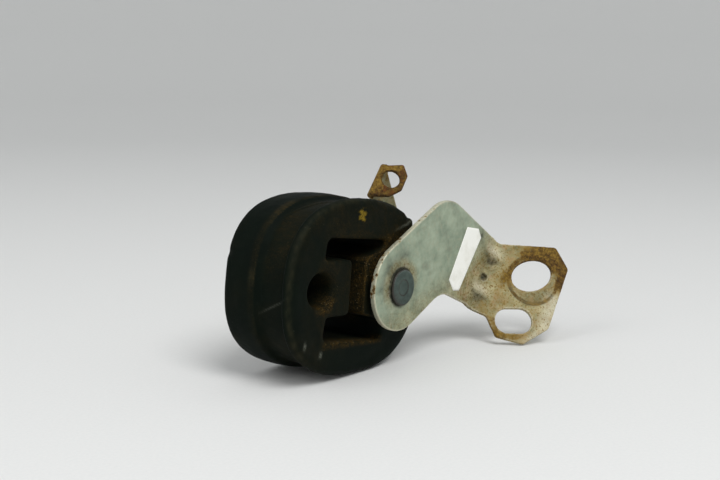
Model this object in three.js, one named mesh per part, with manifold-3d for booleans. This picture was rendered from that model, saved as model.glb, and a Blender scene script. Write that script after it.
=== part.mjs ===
// Exhaust pipe bracket: a moulded rubber hanger held between two pressed steel plates.
// A rivet through a spacer sleeve clamps the plates on one boss of the rubber; the other
// boss has the bore for the hanger pin. Millimetres, +Z up, the pin side at -X, the front
// plate towards -Y. The part lies as it does on a table: on its rims and one flange corner.
import * as THREE from 'three';
import { mergeVertices } from 'three/addons/utils/BufferGeometryUtils.js';
import Module from 'manifold-3d';

const wasm = await Module();
wasm.setup();

// Driving dimensions
const pinToRivet = 42.9;        // pin bore axis to rivet axis
const sheet = 2.2;              // thickness of both pressed plates
const fitGap = 0.3;             // clearance around each piece that passes through another

const rubber = {
  halfWidth: 40.4, halfHeight: 34, squareness: 2.5, // the outline is a superellipse
  offsetX: 1.2, offsetZ: 0.4,   // its centre, from midway between pin and rivet
  depth: 34.5,
  rimRound: 3.3, rimLand: 0.9,  // front rim: rounded edge, then a short flat land
  grooveDrop: 2.2, grooveEnd: 16.4, grooveRamp: 2.2,
  bandCrown: 0.3, backRound: 2.6,
  pinBore: 6.4, pinMouth: 8.9,  // radii of the pin bore and of its rounded mouth
  opening: [                    // corners of the opening round the bosses: x, z, radius
    [16.5, -21, 3], [16.5, -13, 1.5], [4.2, -10.4, 1.8],    // lower slot, rivet side
    [4.2, 11.1, 1.8], [15.6, 15.3, 1.2], [15.6, 18.2, 1.8], // upper slot, rivet side
    [-19.4, 19.6, 3], [-20.6, 11.2, 1.4], [-4.4, 11.1, 1.8], // upper slot, pin side
    [-4.4, -10, 1.8], [-17.8, -10.2, 1.4], [-19, -19.4, 3], // lower slot, pin side
  ],
};
const sleeve = { radius: 8, standOff: 2.6 };        // stands proud of the rubber both ends
const rivet = {
  shank: 5, head: 7.2, headHeight: 1.1, headRound: 0.5, markRadius: 3.1, markDepth: 0.25,
  tailHead: 8.2, tailHeight: 3.6,
};
const lobe = 17.4;              // radius of both plates around the rivet
const front = {
  shoulder: [29, 15.6, 18.6],   // circle of the raised shoulder: x, z, radius
  waist: [30.1, -18.1, -13.5],  // hollow circle under it
  bendX: 60.2, bendZ: 2.2,      // middle of the bend, from the rivet
  lean: 32, turn: 51,           // bend line off upright, and how far the flange is turned
  bendRadius: 3, neckHalf: 16.6,
  seatRadius: 11.9, seatDepth: 0.2,
};
const flange = {                // seen square on: out from the bend, then along it
  outline: [
    [7.4, -16.6, 2], [14.5, -23.4, 1.6], [26.5, -21.4, 1], [34.2, -10.4, 1.4],
    [33, 18.4, 1.4], [24.4, 25.6, 1.4],
  ],
  oval: { out: 19.1, along: 8.9, half: 9.1, radius: 6.7, tilt: 44 },
  slot: { out: 19, along: -13.6, half: 8, radius: 5.45, tilt: 24 },
  seat: { out: 20.2, along: 7, radius: 10.7, depth: 0.25 },
};
const dart = { spacing: 17.5, reach: 6, slope: 40, crest: 2, hollow: 0.3 };
const pit = { radius: 1.6, depth: 1.4, drop: 1 };            // punched mark between the two darts
const rear = {
  waistRight: [43.3, -6.7, -20], elbow: [47.2, 23.6, 5], waistLeft: [7, 39, -20],
  foldX: 33.4, foldZ: 39.5,     // middle of the fold line, from the rivet
  lean: 32, turn: 129, bendRadius: 1.2, neckHalf: 7.8,
};
const tab = {                   // out from the fold line, then along it
  outline: [
    [8.3, -11, 1.2], [12, -6.8, 1.2], [12.1, 0.2, 1.2], [8.3, 5.3, 1.2],
  ],
  holeOut: 5.8, holeAlong: -2.3, hole: 3.9,
};
const roundSteps = 48;          // facets of a full turn on small round pieces
const cornerSteps = 4;          // facets of a rounded edge
const bendSteps = 9;            // facets across a bend; odd, so that none meets a hole's edge
const neckFlat = 3;             // flat sheet kept with a fold, inside the plate it joins
const neckTuck = 0.15;          // how far a flat outline ends inside the sides of its neck
const neckLap = 1;              // how far it ends inside the neck's flat
const blank = 60;               // a fold before its outline is cut: its leg, and its width each way
const past = 1;                 // how far a cutter runs past the face it opens
const outlineSteps = 128;       // facets of the rubber outline
const chordError = 0.02;        // how far a facet of an outline's arc may cut inside it

const radians = THREE.MathUtils.degToRad;
const pinX = -pinToRivet / 2;
const rivetX = pinToRivet / 2;
const frontInner = -sleeve.standOff;              // y of the faces that the sleeve holds apart
const rearInner = rubber.depth + sleeve.standOff;

// Solids

function facingOut(index, position) {
  let volume = 0;
  const [a, b, c] = [0, 1, 2].map(() => new THREE.Vector3());
  for (let i = 0; i < index.length; i += 3) {
    a.fromBufferAttribute(position, index[i]);
    b.fromBufferAttribute(position, index[i + 1]);
    c.fromBufferAttribute(position, index[i + 2]);
    volume += a.dot(b.cross(c));
  }
  return volume > 0;
}

function solid(geometry) {
  const bare = geometry.clone();
  bare.deleteAttribute('normal');
  bare.deleteAttribute('uv');
  const merged = mergeVertices(bare, 1e-4);
  const index = [];
  for (let i = 0; i < merged.index.count; i += 3) {
    const [a, b, c] = [0, 1, 2].map((k) => merged.index.getX(i + k));
    if (a !== b && b !== c && c !== a) index.push(a, b, c);
  }
  if (!facingOut(index, merged.attributes.position)) index.reverse();
  return new wasm.Manifold(new wasm.Mesh({
    numProp: 3,
    vertProperties: merged.attributes.position.array,
    triVerts: new Uint32Array(index),
  }));
}

// A closed outline of arcs joined by their common tangents, drawn anticlockwise. Each
// circle is x, y, radius; a negative radius is a hollow one and zero is a sharp corner.
function beltOutline(circles) {
  const count = circles.length;
  const heading = circles.map(([x, y, r], i) => {
    const [nextX, nextY, nextR] = circles[(i + 1) % count];
    const along = Math.atan2(nextY - y, nextX - x);
    return along - Math.asin((nextR - r) / Math.hypot(nextX - x, nextY - y));
  });
  const points = circles.flatMap(([x, y, r], i) => {
    const arriving = heading[(i + count - 1) % count];
    if (r === 0) return [new THREE.Vector2(x, y)];
    const full = 2 * Math.PI;
    const way = Math.sign(r);
    const sweep = way * (((heading[i] - arriving) * way % full + full) % full);
    const steps = Math.ceil(Math.abs(sweep) / (2 * Math.acos(1 - chordError / Math.abs(r))));
    return Array.from({ length: steps + 1 }, (_, k) => {
      const at = arriving + sweep * k / steps;
      return new THREE.Vector2(x + r * Math.sin(at), y - r * Math.cos(at));
    });
  });
  return new THREE.Shape(points);
}

// A polygon drawn anticlockwise whose corners, x, y, radius, are rounded inside it.
function roundedOutline(corners) {
  const count = corners.length;
  return beltOutline(corners.map(([x, y, r], i) => {
    const before = corners[(i + count - 1) % count];
    const after = corners[(i + 1) % count];
    const back = new THREE.Vector2(before[0] - x, before[1] - y).normalize();
    const ahead = new THREE.Vector2(after[0] - x, after[1] - y).normalize();
    const halfAngle = Math.acos(back.dot(ahead)) / 2;
    const middle = back.clone().add(ahead).setLength(r / Math.sin(halfAngle));
    return [x + middle.x, y + middle.y, ahead.cross(back) > 0 ? r : -r];
  }));
}

function disc(x, y, radius) {
  return new THREE.Shape().absarc(x, y, radius, 0, 2 * Math.PI);
}

function ovalOutline({ out, along, half, radius, tilt }) {
  return new THREE.Shape().absellipse(out, along, half, radius, 0, 2 * Math.PI, false, radians(tilt));
}

function slotOutline({ out, along, half, radius, tilt }) {
  const reach = half - radius;
  const [dx, dy] = [reach * Math.cos(radians(tilt)), reach * Math.sin(radians(tilt))];
  return beltOutline([[out - dx, along - dy, radius], [out + dx, along + dy, radius]]);
}

// An outline pushed from one depth to another along its own third axis.
function plank(shape, from, to) {
  const geometry = new THREE.ExtrudeGeometry(shape, {
    depth: to - from, bevelEnabled: false, curveSegments: roundSteps,
  });
  return solid(geometry.translate(0, 0, from));
}

// An outline in x and z pushed from one y to another.
function upright(shape, fromY, toY) {
  const geometry = new THREE.ExtrudeGeometry(shape, {
    depth: toY - fromY, bevelEnabled: false, curveSegments: roundSteps,
  });
  return solid(geometry.rotateX(Math.PI / 2).translate(0, toY, 0));
}

// A profile of radius and y, turned about an upright line at x.
function turnedAlongY(profile, x) {
  const points = profile.map(([radius, y]) => new THREE.Vector2(radius, y));
  return solid(new THREE.LatheGeometry(points, roundSteps).translate(x, 0, 0));
}

function quarter(centreRadius, centreY, radius, fromTurn, toTurn) {
  return Array.from({ length: cornerSteps + 1 }, (_, i) => {
    const turn = radians(fromTurn + (toTurn - fromTurn) * i / cornerSteps);
    return [centreRadius + radius * Math.cos(turn), centreY + radius * Math.sin(turn)];
  });
}

// Rubber

function rubberBody() {
  const edge = rubber.halfHeight;
  const backEdge = edge - rubber.bandCrown;
  const landEnd = rubber.rimRound + rubber.rimLand;
  const bandStart = rubber.grooveEnd + rubber.grooveRamp;
  const profile = [
    [0, 0],
    ...quarter(edge - rubber.rimRound, rubber.rimRound, rubber.rimRound, -90, 0),
    [edge, landEnd],
    [edge - rubber.grooveDrop, landEnd + rubber.grooveDrop / 2],
    [edge - rubber.grooveDrop, rubber.grooveEnd],
    [backEdge, bandStart],
    [edge, (bandStart + rubber.depth - rubber.backRound) / 2],
    ...quarter(backEdge - rubber.backRound, rubber.depth - rubber.backRound, rubber.backRound, 0, 90),
    [0, rubber.depth],
  ];
  const points = profile.map(([radius, y]) => new THREE.Vector2(radius, y));
  const geometry = new THREE.LatheGeometry(points, outlineSteps);
  const place = geometry.attributes.position;
  for (let i = 0; i < place.count; i++) {
    const [x, z] = [place.getX(i), place.getZ(i)];
    const radius = Math.hypot(x, z);
    if (radius < 1e-6) continue;
    const power = rubber.squareness;
    const swell = (Math.abs(x / radius) ** power + Math.abs(z / radius) ** power) ** (-1 / power);
    place.setX(i, x * swell * rubber.halfWidth / rubber.halfHeight);
    place.setZ(i, z * swell);
  }
  return solid(geometry.translate(rubber.offsetX, 0, rubber.offsetZ));
}

// The opening between the two bosses: a slot above, a slot below, and the gap joining them.
function bossOpening() {
  return upright(roundedOutline(rubber.opening), -past, rubber.depth + past);
}

function pinBoreCutter() {
  const { pinBore: bore, pinMouth: mouth, depth } = rubber;
  const round = mouth - bore;
  return turnedAlongY([
    [0, -past], [mouth, -past],
    ...quarter(mouth, round, round, 270, 180),
    ...quarter(mouth, depth - round, round, 180, 90),
    [mouth, depth + past], [0, depth + past],
  ], pinX);
}

function rubberBlock() {
  const bore = sleeve.radius + fitGap;
  return rubberBody()
    .subtract(bossOpening())
    .subtract(pinBoreCutter())
    .subtract(upright(disc(rivetX, 0, bore), -past, rubber.depth + past));
}

// Rivet and sleeve

function spacerSleeve() {
  const bore = rivet.shank + fitGap;
  return turnedAlongY([
    [bore, frontInner], [sleeve.radius, frontInner],
    [sleeve.radius, rearInner], [bore, rearInner], [bore, frontInner],
  ], rivetX);
}

function rivetBody() {
  const face = frontInner - sheet;
  const top = face - rivet.headHeight;
  const back = rearInner + sheet;
  const tail = quarter(0, 0, 1, 0, 90).map(([across, up]) => {
    return [across * rivet.tailHead, back + up * rivet.tailHeight];
  });
  return turnedAlongY([
    [0, top + rivet.markDepth], [rivet.markRadius, top + rivet.markDepth],
    [rivet.markRadius + rivet.markDepth, top], [rivet.head - rivet.headRound, top],
    [rivet.head, top + rivet.headRound], [rivet.head, face],
    [rivet.shank, face], [rivet.shank, back], ...tail,
  ], rivetX);
}

// Pressed plates

// The frame of a fold: x leads from the flat sheet to the fold, y lies along the fold and
// z stands off the sheet on the side it is turned to.
function foldFrame(x, y, z, lean, flip) {
  const across = new THREE.Vector3(Math.cos(radians(lean)), 0, -Math.sin(radians(lean)));
  const along = new THREE.Vector3(Math.sin(radians(lean)), 0, Math.cos(radians(lean)));
  const outward = new THREE.Vector3(0, -1, 0);
  const frame = new THREE.Matrix4().makeBasis(
    across.multiplyScalar(flip), along.multiplyScalar(flip), outward,
  );
  return frame.setPosition(x, y, z);
}

const sheetTangent = (bend) => bend.bendRadius * Math.tan(radians(bend.turn) / 2);

// The side view of a folded sheet: a short flat, the bend, and the turned-up leg.
function foldSection(bend, flatLength, legLength) {
  const turn = radians(bend.turn);
  const start = -sheetTangent(bend);
  const inner = bend.bendRadius;
  const outer = inner + sheet;
  const ahead = new THREE.Vector2(Math.cos(turn), Math.sin(turn)).multiplyScalar(legLength);
  const [down, up] = [-Math.PI / 2, turn - Math.PI / 2];
  const section = new THREE.Shape();
  section.moveTo(start - flatLength, 0);
  section.lineTo(start, 0);
  section.absarc(start, inner, inner, down, up, false);
  section.lineTo(section.currentPoint.x + ahead.x, section.currentPoint.y + ahead.y);
  section.lineTo(section.currentPoint.x + sheet * Math.sin(turn),
    section.currentPoint.y - sheet * Math.cos(turn));
  section.lineTo(section.currentPoint.x - ahead.x, section.currentPoint.y - ahead.y);
  section.absarc(start, inner, outer, up, down, true);
  section.lineTo(start - flatLength, -sheet);
  return section;
}

// A flange turned out of a flat sheet, in the frame of its fold. The corners of the flange
// are given square on, from where the faces of the sheet would meet.
function turnedFlange(bend, corners, cuts) {
  const tangent = sheetTangent(bend);
  const section = new THREE.ExtrudeGeometry(foldSection(bend, neckFlat, blank), {
    depth: 2 * blank, bevelEnabled: false, curveSegments: bendSteps,
  });
  const folded = solid(section.rotateX(Math.PI / 2).translate(0, blank, 0));
  const half = bend.neckHalf;
  const reach = bend.bendRadius + sheet;
  const neck = roundedOutline([
    [-neckFlat - tangent, -half, 0], [reach, -half, 0],
    [reach, half, 0], [-neckFlat - tangent, half, 0],
  ]);
  const outline = roundedOutline([
    [-reach, -half, 0], [tangent, -half, 0], ...corners, [tangent, half, 0], [-reach, half, 0],
  ]);
  const turned = new THREE.Matrix4().makeRotationY(-radians(bend.turn));
  const leaf = moved(plank(outline, -sheet - past, bend.bendRadius), turned);
  let flange = folded.intersect(leaf.add(plank(neck, -sheet - past, bend.bendRadius)));
  for (const [shape, from, to] of cuts) {
    flange = flange.subtract(moved(plank(shape, from, to), turned));
  }
  return flange;
}

function moved(manifold, matrix) {
  const mesh = manifold.getMesh();
  const geometry = new THREE.BufferGeometry();
  geometry.setAttribute('position', new THREE.BufferAttribute(mesh.vertProperties.slice(), 3));
  geometry.setIndex(Array.from(mesh.triVerts));
  return solid(geometry.applyMatrix4(matrix));
}

// A stiffening dart pressed across the bend: a ridge from sheet to flange, with straight
// sides and a rounded crest. A ridge that lies inside it by the sheet's thickness is its hollow.
function dartRidge(bend, alongBend, round, inside) {
  const half = radians(bend.turn) / 2;
  const slope = radians(dart.slope);
  const top = dart.reach * Math.sin(half);
  const centre = top - dart.crest + (dart.crest - inside - round) / Math.cos(slope);
  const deep = 2 * sheet + inside;
  const wide = deep / Math.tan(slope);
  const profile = beltOutline([
    [-wide, centre - deep, round], [wide, centre - deep, round], [0, centre, round],
  ]);
  const length = dart.reach + 2 * sheet;
  const ridge = plank(profile, -length, length);
  const across = new THREE.Vector3(Math.cos(half), 0, Math.sin(half));
  const inward = new THREE.Vector3(-Math.sin(half), 0, Math.cos(half));
  const frame = new THREE.Matrix4().makeBasis(new THREE.Vector3(0, -1, 0), inward, across);
  return moved(ridge, frame.setPosition(0, alongBend, 0));
}

// What lies above the middle of the sheet on both sides of the bend.
function aboveSheet(bend) {
  const turn = radians(bend.turn);
  const low = -sheet / 2;
  const apex = [-low * Math.tan(turn / 2), low];
  const span = blank;
  const wedge = new THREE.Shape([
    new THREE.Vector2(-span, low), new THREE.Vector2(...apex),
    new THREE.Vector2(apex[0] + span * Math.cos(turn), apex[1] + span * Math.sin(turn)),
    new THREE.Vector2(-span, span),
  ]);
  const wide = dart.spacing;
  const geometry = new THREE.ExtrudeGeometry(wedge, { depth: 2 * wide, bevelEnabled: false });
  return solid(geometry.rotateX(Math.PI / 2).translate(0, wide, 0));
}

// A round mark punched into the hollow side of the bend, half through the sheet.
function bendPit(bend) {
  const half = radians(bend.turn) / 2;
  const surface = bend.bendRadius / Math.cos(half) - bend.bendRadius;
  const cutter = new THREE.CylinderGeometry(pit.radius, pit.radius, sheet + pit.depth, roundSteps / 2);
  cutter.rotateX(Math.PI / 2).translate(0, -pit.drop, surface + (sheet - pit.depth) / 2);
  return solid(cutter.rotateY(-half));
}

// The corner, in x and z, where the edge of a flat sheet runs into one side of its fold.
function neckCorner(bend, frame, side) {
  const start = neckLap - neckFlat - sheetTangent(bend);
  const at = new THREE.Vector3(start, side * (bend.neckHalf - neckTuck), 0);
  at.applyMatrix4(frame);
  return [at.x, at.z, 0];
}

const fromRivet = ([x, z, radius]) => [rivetX + x, z, radius];

// The hole for the rivet's shank, through a plate whose front face is at y.
function rivetHole(y) {
  return upright(disc(rivetX, 0, rivet.shank + fitGap), y - past, y + sheet + past);
}

function frontPlate() {
  const faceY = frontInner - sheet;
  const frame = foldFrame(rivetX + front.bendX, faceY, front.bendZ, front.lean, 1);
  const outline = beltOutline([
    [rivetX, 0, lobe], fromRivet(front.waist), neckCorner(front, frame, -1),
    neckCorner(front, frame, 1), fromRivet(front.shoulder),
  ]);
  const seat = flange.seat;
  let bent = turnedFlange(front, flange.outline, [
    [ovalOutline(flange.oval), -sheet - past, past],
    [slotOutline(flange.slot), -sheet - past, past],
    [disc(seat.out, seat.along, seat.radius), -seat.depth, past],
  ]);
  const above = aboveSheet(front);
  for (const side of [-1, 1]) {
    const at = side * dart.spacing / 2;
    bent = bent.add(dartRidge(front, at, dart.crest, 0).intersect(above));
    bent = bent.subtract(dartRidge(front, at, dart.hollow, sheet));
  }
  bent = bent.subtract(bendPit(front));
  return upright(outline, faceY, frontInner)
    .add(moved(bent, frame))
    .subtract(upright(disc(rivetX, 0, front.seatRadius), faceY - past, faceY + front.seatDepth))
    .subtract(rivetHole(faceY));
}

function rearPlate() {
  const frame = foldFrame(rivetX + rear.foldX, rearInner, rear.foldZ, rear.lean, -1);
  const outline = beltOutline([
    [rivetX, 0, lobe], fromRivet(rear.waistRight), fromRivet(rear.elbow),
    neckCorner(rear, frame, -1), neckCorner(rear, frame, 1), fromRivet(rear.waistLeft),
  ]);
  const folded = turnedFlange(rear, tab.outline, [
    [disc(tab.holeOut, tab.holeAlong, tab.hole), -sheet - past, past],
  ]);
  return upright(outline, rearInner, rearInner + sheet)
    .add(moved(folded, frame))
    .subtract(rivetHole(rearInner));
}

// Assembly

function finish(color, metalness, roughness) {
  return new THREE.MeshStandardMaterial({ color, metalness, roughness });
}
const blackRubber = () => finish('#1d211f', 0, 0.85);
const zincPlate = () => finish('#9aa393', 0.7, 0.5);
const rustyPlate = () => finish('#8a5f33', 0.4, 0.75);
const darkRivet = () => finish('#56646e', 0.8, 0.45);
const plainSteel = () => finish('#84867f', 0.8, 0.5);

const pieces = [
  ['rubber_block', rubberBlock, blackRubber],
  ['spacer_sleeve', spacerSleeve, plainSteel],
  ['rivet', rivetBody, darkRivet],
  ['front_plate', frontPlate, zincPlate],
  ['rear_plate', rearPlate, rustyPlate],
];

function toMesh(name, manifold, material) {
  const mesh = manifold.getMesh();
  const geometry = new THREE.BufferGeometry();
  geometry.setAttribute('position', new THREE.BufferAttribute(mesh.vertProperties.slice(), 3));
  geometry.setIndex(Array.from(mesh.triVerts));
  geometry.computeVertexNormals();
  const made = new THREE.Mesh(geometry, material);
  made.name = name;
  return made;
}

// The turn about Y at which the rubber's rims and the flange's lowest corner stand level.
function restTurn(block, plate) {
  const lowest = (mesh, turn) => {
    const place = mesh.geometry.attributes.position;
    let low = Infinity;
    for (let i = 0; i < place.count; i++) {
      low = Math.min(low, place.getZ(i) * Math.cos(turn) - place.getX(i) * Math.sin(turn));
    }
    return low;
  };
  let [level, steep] = [0, radians(30)];
  for (let step = 0; step < 40; step++) {
    const turn = (level + steep) / 2;
    if (lowest(plate, turn) > lowest(block, turn)) level = turn;
    else steep = turn;
  }
  return level;
}

const assembly = new THREE.Group();
assembly.name = 'hanger_assembly';
for (const [name, shape, material] of pieces) assembly.add(toMesh(name, shape(), material()));
const [block, , , plate] = assembly.children;
assembly.rotation.y = restTurn(block, plate);

const group = new THREE.Group();
group.name = 'exhaust_pipe_bracket';
group.add(assembly);
group.updateMatrixWorld(true);
const box = new THREE.Box3().setFromObject(group, true);
const middle = box.getCenter(new THREE.Vector3());
assembly.position.set(-middle.x, -middle.y, -box.min.z);
group.updateMatrixWorld(true);

export default group;
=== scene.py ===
# %% [markdown]
# # An exhaust pipe bracket, dressed for a close look
#
# The CAD model gives the bracket its exact solids: a moulded rubber hanger, a rivet through
# a spacer sleeve, and two pressed steel plates with a bent flange and a folded tab. This
# lesson adds what a drawing leaves out: rounded sheared edges, dust in the rubber's corners,
# zinc plating that has gone dull, rust round the holes, mud crumbs, a paper label. Every
# cell is short and says what it makes.

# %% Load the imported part
import math

import bmesh
import bpy
import numpy as np
from mathutils import Matrix, Vector


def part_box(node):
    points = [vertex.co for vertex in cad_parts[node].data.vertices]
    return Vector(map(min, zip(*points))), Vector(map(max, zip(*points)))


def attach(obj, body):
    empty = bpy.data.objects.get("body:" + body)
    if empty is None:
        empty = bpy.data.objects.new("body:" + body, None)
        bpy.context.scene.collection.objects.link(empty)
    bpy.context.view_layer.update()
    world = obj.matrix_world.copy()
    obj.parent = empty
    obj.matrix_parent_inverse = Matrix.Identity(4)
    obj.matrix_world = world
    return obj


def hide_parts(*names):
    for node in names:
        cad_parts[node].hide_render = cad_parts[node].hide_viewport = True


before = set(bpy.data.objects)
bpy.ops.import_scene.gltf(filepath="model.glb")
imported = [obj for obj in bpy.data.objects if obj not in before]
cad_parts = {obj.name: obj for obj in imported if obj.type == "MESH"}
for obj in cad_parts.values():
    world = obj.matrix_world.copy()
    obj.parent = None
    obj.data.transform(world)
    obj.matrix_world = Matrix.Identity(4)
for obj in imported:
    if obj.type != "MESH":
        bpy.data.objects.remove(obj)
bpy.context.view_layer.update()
print("nodes:", ", ".join(sorted(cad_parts)))

# %% [markdown]
# ## The bracket's own frame
#
# The part lies on a table, so it is turned a few degrees. Its features are easier to name in
# the frame it was drawn in: millimetres, with the origin on the front face of the rubber
# midway between the hanger pin and the rivet, X from pin to rivet, Y into the rubber and Z
# up. The spacer sleeve stands on the rivet axis, so its box tells where that frame is.

# %% The drawing frame
MM = 0.001
REST_TURN = math.radians(5.78192026)
RIVET_X = 21.45
PIN_X = -21.45
RUBBER_DEPTH = 34.5
FRONT_FACE = -4.8
SHEET = 2.2

sleeve_low, sleeve_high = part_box("spacer_sleeve")
turn = Matrix.Rotation(REST_TURN, 4, "Y")
sleeve_middle = turn @ Vector((RIVET_X, RUBBER_DEPTH / 2, 0)) * MM
drawing = Matrix.Translation((sleeve_low + sleeve_high) / 2 - sleeve_middle) @ turn


def place(x, y, z):
    """A point of the drawing, in millimetres, as metres in the row frame."""
    return drawing @ (Vector((x, y, z)) * MM)


def drawn(points):
    """Many points of the row frame, in metres, as millimetres in the drawing frame."""
    back = np.array(drawing.inverted())
    return (points @ back[:3, :3].T + back[:3, 3]) / MM


def new_object(name, data):
    """Puts a mesh, a camera or a lamp into the scene."""
    made = bpy.data.objects.new(name, data)
    bpy.context.collection.objects.link(made)
    return made


print("drawing origin, metres:", tuple(round(c, 4) for c in place(0, 0, 0)))

# %% [markdown]
# ## Camera first
#
# The camera stands where the photographer stood: a little above the part, looking along the
# plate at the rubber. Its three axes and its place were solved from the outlines, in the
# drawing frame, and the long lens keeps the perspective mild.

# %% Camera
RIGHT, UP, BACK = (0.6145, -0.7853, 0.0751), (0.0202, 0.1108, 0.9936), (-0.7887, -0.6091, 0.0839)
CAMERA_AT = (-355.9, -273.9, 56.3)
LENS, SENSOR = 59.6, 36

stand = Matrix((RIGHT, UP, BACK)).transposed().to_4x4()
optics = bpy.data.cameras.new("camera")
optics.lens, optics.sensor_width = LENS, SENSOR
optics.clip_start, optics.clip_end = 0.01, 20
camera = new_object("camera", optics)
camera.matrix_world = Matrix.Translation(place(*CAMERA_AT)) @ turn @ stand
bpy.context.scene.camera = camera
print("camera at", tuple(round(c, 3) for c in camera.location))

# %% [markdown]
# ## Helpers for every node tree
#
# Paint shops write colours as sRGB hex, and Blender works in linear light, so one function
# translates. Another adds a node, sets what it is told and joins its wires: a node or a
# socket is linked, a hex code becomes a colour, and anything else is typed into the input.
# The last one starts a material.

# %% Node helpers


def colour(hex_code):
    """An sRGB hex colour as the linear colour that Blender works in."""
    parts = [int(hex_code[i : i + 2], 16) / 255 for i in (1, 3, 5)]
    return tuple(c / 12.92 if c <= 0.04045 else ((c + 0.055) / 1.055) ** 2.4 for c in parts) + (1,)


def add(tree, kind, wires=None, **settings):
    """Adds a node. Wires maps an input in use, by name or place, to what goes into it."""
    node = tree.nodes.new(kind)
    for name, value in settings.items():
        setattr(node, name, value)
    usable = [socket for socket in node.inputs if socket.enabled]
    for key, value in (wires or {}).items():
        socket = usable[key] if isinstance(key, int) else next(s for s in usable if s.name == key)
        if isinstance(value, bpy.types.Node):
            value = next(s for s in value.outputs if s.enabled)
        if isinstance(value, bpy.types.NodeSocket):
            tree.links.new(value, socket)
        elif isinstance(value, str) and value.startswith("#"):
            socket.default_value = colour(value)
        else:
            socket.default_value = value
    return node


def new_material(name):
    """An empty material, its node tree, and the Object coordinates its patterns lie in."""
    material = bpy.data.materials.new(name)
    material.use_nodes = True
    tree = material.node_tree
    tree.nodes.clear()
    return material, tree, add(tree, "ShaderNodeTexCoord").outputs["Object"]


print("linear mid grey:", round(colour("#808080")[0], 3))

# %% [markdown]
# ## A skin for each piece
#
# A CAD solid is made of long flat triangles with knife edges. Real rubber comes out of the
# mould soft-edged, and a punched plate has an edge that rolls over on one side. A voxel
# remesh turns the solid into even small squares, and a light smoothing then rounds only
# what was sharp. The small squares also carry painted values, point by point, which is how
# the materials below know where an edge, a corner or a hole is.

# %% Skins
WELD_WITHIN = 0.002


def plain_mesh(piece):
    """Turns a piece's modifiers into plain mesh."""
    evaluated = piece.evaluated_get(bpy.context.evaluated_depsgraph_get())
    mesh = bpy.data.meshes.new_from_object(evaluated)
    piece.modifiers.clear()
    piece.data = mesh
    mesh.name = piece.name
    mesh.shade_smooth()


def hand_over(piece, node=None):
    """Gives a finished piece to the part's one body, in place of a CAD node if one is named."""
    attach(piece, "root")
    if node:
        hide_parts(node)
    print(piece.name, "has", len(piece.data.polygons), "faces")


def skin(node, name, voxel, rounds):
    """An even copy of a CAD solid: voxels in millimetres, then rounds of smoothing."""
    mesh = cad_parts[node].data.copy()
    mesh.materials.clear()
    piece = new_object(name, mesh)
    piece.modifiers.new("weld", "WELD").merge_threshold = WELD_WITHIN * MM
    remesh = piece.modifiers.new("remesh", "REMESH")
    remesh.mode, remesh.voxel_size = "VOXEL", voxel * MM
    smooth = piece.modifiers.new("smooth", "SMOOTH")
    smooth.factor, smooth.iterations = 0.5, rounds
    plain_mesh(piece)
    hand_over(piece, node)
    return piece


rubber = skin("rubber_block", "rubber_skin", voxel=0.55, rounds=12)
front = skin("front_plate", "front_plate_skin", voxel=0.4, rounds=2)
rear = skin("rear_plate", "rear_plate_skin", voxel=0.4, rounds=2)

# %% [markdown]
# ## Reading a skin
#
# Three things are measured on a skin: where its points are, which way they face and, on a
# plate, how sharply it bends there. A high bend is the cut edge, where plating wears off
# first, and a hollow one is a corner, where dirt stays. A layer of paint is then built from
# distances, such as ease(distance, 4, 0.5): nothing at 4 mm, all of it at 0.5 mm.

# %% Measuring


def read(mesh, kind):
    """A value of three numbers at each point, as rows."""
    values = np.zeros(len(mesh.vertices) * 3, np.float32)
    mesh.vertices.foreach_get(kind, values)
    return values.reshape(-1, 3).astype(float)


def seen(piece):
    """A skin's points in drawing millimetres, and the way that each one faces."""
    facing = read(piece.data, "normal") @ np.array(turn.to_3x3())
    return drawn(read(piece.data, "co")), facing


def bending(mesh):
    """One over the radius of bending at each point, per millimetre; hollows are negative."""
    at, facing = read(mesh, "co") / MM, read(mesh, "normal")
    ends = np.zeros(len(mesh.edges) * 2, np.int32)
    mesh.edges.foreach_get("vertices", ends)
    a, b = ends.reshape(-1, 2).T
    step = at[b] - at[a]
    curve = ((facing[b] - facing[a]) * step).sum(1) / np.maximum((step**2).sum(1), 1e-6)
    count = np.maximum(np.bincount(a, minlength=len(at)) + np.bincount(b, minlength=len(at)), 1)
    mean = (np.bincount(a, curve, len(at)) + np.bincount(b, curve, len(at))) / count
    # Half of the neighbours' mean goes in, which takes out the grain of the mesh.
    around = np.bincount(a, mean[b], len(at)) + np.bincount(b, mean[a], len(at))
    return 0.5 * mean + 0.5 * around / count


def ease(values, low, high):
    """0 below low, 1 above high and a smooth step between; low may be the larger one."""
    t = np.clip((values - low) / (high - low), 0, 1)
    return t * t * (3 - 2 * t)


def spot(u, v, radius=1):
    """A soft round spot about zero, 1 in its middle."""
    return np.exp(-(u**2 + v**2) / radius**2)


def waves(points, size, seed, octaves=3):
    """Smooth random values from -1 to 1 that change over about size millimetres."""
    chance = np.random.default_rng(seed)
    total = np.zeros(len(points))
    for octave in range(octaves):
        for _ in range(5):
            way = chance.normal(size=3)
            way *= 2 * math.pi * 2**octave / size / np.linalg.norm(way)
            total += np.sin(points @ way + chance.uniform(0, 2 * math.pi)) / 2**octave
    return total / 4


def paint(piece, **layers):
    """Stores each layer of values on the mesh, where a material can read it."""
    for name, values in layers.items():
        layer = piece.data.attributes.new(name, "FLOAT", "POINT")
        layer.data.foreach_set("value", np.clip(values, 0, 1).astype(np.float32))
    print(piece.name, "painted with", ", ".join(layers))


def push(piece, distance):
    """Moves each point along its normal by so many millimetres."""
    at, facing = read(piece.data, "co"), read(piece.data, "normal")
    at += facing * (distance * MM)[:, None]
    piece.data.vertices.foreach_set("co", at.astype(np.float32).ravel())
    piece.data.update()
    print(piece.name, "pushed by", round(distance.min(), 2), "to", round(distance.max(), 2), "mm")


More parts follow.
